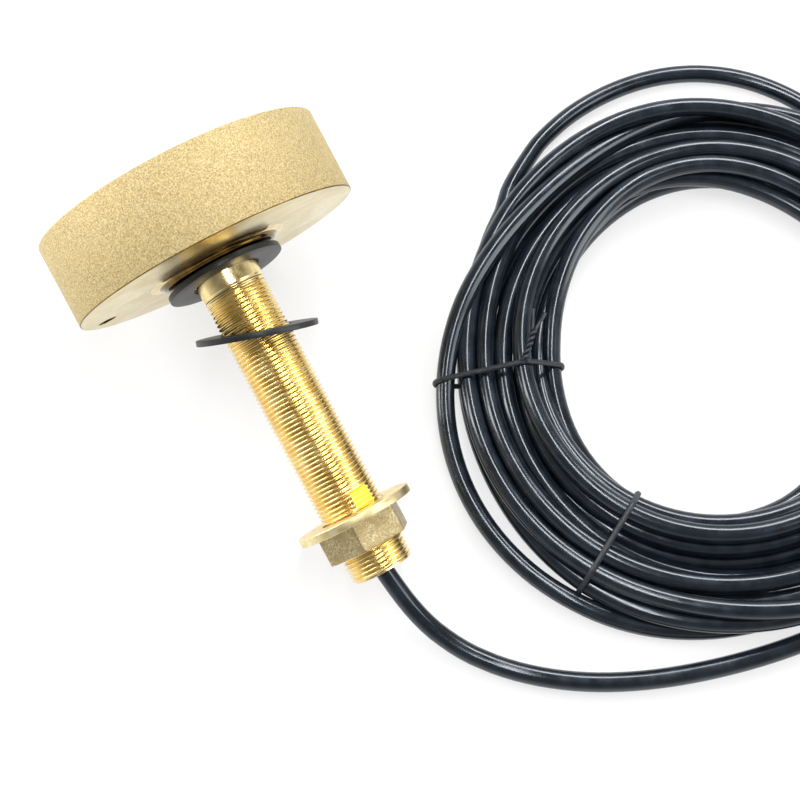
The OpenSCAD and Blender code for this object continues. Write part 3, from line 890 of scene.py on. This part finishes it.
# Plug: a round nickel-plated shell with a fluted grip, and a sleeve round gold pins in a moulded
# insulator. A tapered rubber boot with ribs keeps the cable from bending sharply where it goes in.
boot_l = 36 * mm
boot_tip_r = 6 * mm
grip_r = 11 * mm
grip_l = 16 * mm
grip_edge = 1 * mm
flutes = 24
flute_depth = 0.6 * mm
sleeve_r = 9 * mm
sleeve_l = 20 * mm
sleeve_wall = 1 * mm
sleeve_edge = 0.4 * mm
sleeve_lip = 0.3 * mm
socket_lip = 0.2 * mm
groove = 0.5 * mm
band_inset = 3.5 * mm
nearly = 0.1 * mm
plug_turn = Vector(plug_dir).to_track_quat("Z", "Y")
plug_place = Matrix.Translation(plug_at) @ plug_turn.to_matrix().to_4x4()
grip_foot = boot_l
grip_top = grip_foot + grip_l
sleeve_top = grip_top + sleeve_l
band_foot = grip_foot + band_inset
band_top = grip_top - band_inset
plug_shell = lathe("plug_shell", [
    (0, grip_foot), (grip_r - grip_edge, grip_foot), (grip_r, grip_foot + grip_edge),
    (grip_r, band_foot - 2 * groove), (grip_r - groove, band_foot - groove), (grip_r, band_foot),
    (grip_r, band_top), (grip_r - groove, band_top + groove), (grip_r, band_top + 2 * groove),
    (grip_r, grip_top - grip_edge), (grip_r - grip_edge, grip_top), (sleeve_r, grip_top),
    (sleeve_r, sleeve_top - sleeve_edge), (sleeve_r - sleeve_lip, sleeve_top),
    (sleeve_r - sleeve_wall + socket_lip, sleeve_top), (sleeve_r - sleeve_wall, sleeve_top - sleeve_edge),
    (sleeve_r - sleeve_wall, grip_top), (0, grip_top),
], 8 * flutes)
for vertex in plug_shell.data.vertices:
    radius = vertex.co.xy.length
    if radius > grip_r - nearly and band_foot - nearly < vertex.co.z < band_top + nearly:
        flute = 0.5 - 0.5 * math.cos(flutes * math.atan2(vertex.co.y, vertex.co.x))
        vertex.co.xy *= (radius - flute_depth * flute) / radius
plug_shell.data.materials.append(nickel)
settle(plug_shell, plug_place, 40)
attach(plug_shell, "transducer")
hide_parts("connector_shell")

rib_step = 4 * mm
rib_gap = 1.3 * mm
rib_cut = 0.9 * mm
rib_edge = 0.2 * mm
boot_edge = 0.5 * mm
boot_steps = 64
boot_profile = [(0, 0), (boot_tip_r - boot_edge, 0), (boot_tip_r, boot_edge)]
for foot in np.arange(rib_step, boot_l - rib_step, rib_step):
    for past, cut in ((0, 0), (rib_edge, rib_cut), (rib_gap - rib_edge, rib_cut), (rib_gap, 0)):
        full_r = boot_tip_r + (grip_r - grip_edge - boot_tip_r) * (foot + past) / boot_l
        boot_profile.append((full_r - cut, foot + past))
boot_profile += [(grip_r - grip_edge, boot_l), (0, boot_l)]
plug_boot = lathe("plug_boot", boot_profile, boot_steps)
plug_boot.data.materials.append(seal)
settle(plug_boot, plug_place, 40)
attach(plug_boot, "transducer")
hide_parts("connector_boot")

insulator = grained("moulded_insulator", colour(20, 20, 22), colour(38, 38, 40), 2 * mm, (0.35, 0.5))
gold = grained("gold_plate", colour(222, 170, 70), colour(246, 206, 116), 2 * mm, (0.14, 0.26), 1.0)
dress(insulator, "connector_insulator")
dress(gold, "connector_pins")

# Studio: a white table under soft boxes, seen from above as a catalogue picture is taken.


def white_table():
    material, start, coords = new_finish("white_table")
    from_middle = start.node("VectorMath", {"operation": "LENGTH"}, {0: coords}, out="Value")
    seen = start.node("LightPath", out="Is Camera Ray") * between(from_middle, 0.6, 1.8, 0.7, 1.0)
    mirrored = 0.7 * start.node("LightPath", out="Is Glossy Ray")
    lit = start.node("BsdfDiffuse", {}, {"Color": (0.9, 0.9, 0.9, 1)})
    white = start.node("Emission", {}, {"Color": (1, 1, 1, 1), "Strength": 1.0})
    mixed = start.node("MixShader", {}, {0: start.maths("MAXIMUM", seen, mirrored), 1: lit, 2: white})
    start.node("OutputMaterial", {}, {"Surface": mixed})
    return material


bpy.ops.object.select_all(action="DESELECT")
table_size = 12
bpy.ops.mesh.primitive_plane_add(size=table_size)
table = bpy.context.object
table.name = "table"
table.data.materials.append(white_table())

world = bpy.data.worlds.new("studio")
bpy.context.scene.world = world
world.use_nodes = True
world.node_tree.nodes.clear()
room = Wire(world.node_tree)
towards = room.node("SeparateXYZ", {}, {0: room.node("TexCoord", out="Generated")}, out="Z")
walls = room.node("Background", {}, {"Strength": between(towards, 0.1, 0.55, 0.85, 0.28)})
backdrop = room.node("Background", {}, {"Color": (1, 1, 1, 1), "Strength": 1.0})
seen = room.node("LightPath", out="Is Camera Ray")
room.node("OutputWorld", {}, {"Surface": room.node("MixShader", {}, {0: seen, 1: walls, 2: backdrop})})

photo_right = Vector((0.4868, 0.8735, 0))
photo_up = Vector((-0.8735, 0.4868, 0))
light_target = Vector((0.06, 0.12, 0.02))


def soft_box(name, right, up, height, size, energy):
    """A lamp over the table, so far right and up in the picture, that faces the object."""
    lamp = bpy.data.lights.new(name, "AREA")
    lamp.shape = "RECTANGLE"
    lamp.size, lamp.size_y = size
    lamp.energy = energy
    made = bpy.data.objects.new(name, lamp)
    made.location = light_target + right * photo_right + up * photo_up + Vector((0, 0, height))
    made.rotation_euler = (light_target - made.location).to_track_quat("-Z", "Y").to_euler()
    bpy.context.collection.objects.link(made)


soft_box("key_box", 0.03, 0.3, 0.95, (0.11, 1.5), 10)
soft_box("top_box", 0.4, 1.1, 0.55, (1.2, 0.3), 1)
soft_box("coil_box", 0.45, 0.8, 0.8, (0.5, 0.3), 6)
soft_box("left_box", -1.0, 0.2, 0.42, (0.35, 1.2), 14)
soft_box("right_box", 0.95, -0.1, 0.5, (0.35, 1.2), 5)

camera_azimuth = 150.58
camera_elevation = 72.15
camera_data = bpy.data.cameras.new("camera")
camera_data.lens = 58.5
camera_data.sensor_width = 36
camera = bpy.data.objects.new("camera", camera_data)
bpy.context.collection.objects.link(camera)
camera.location = Vector((223, -51.8, 674)) * mm
camera.rotation_euler = (math.radians(90 - camera_elevation), 0, math.radians(camera_azimuth - 90))
bpy.context.scene.camera = camera
bpy.context.scene.view_settings.view_transform = "Standard"
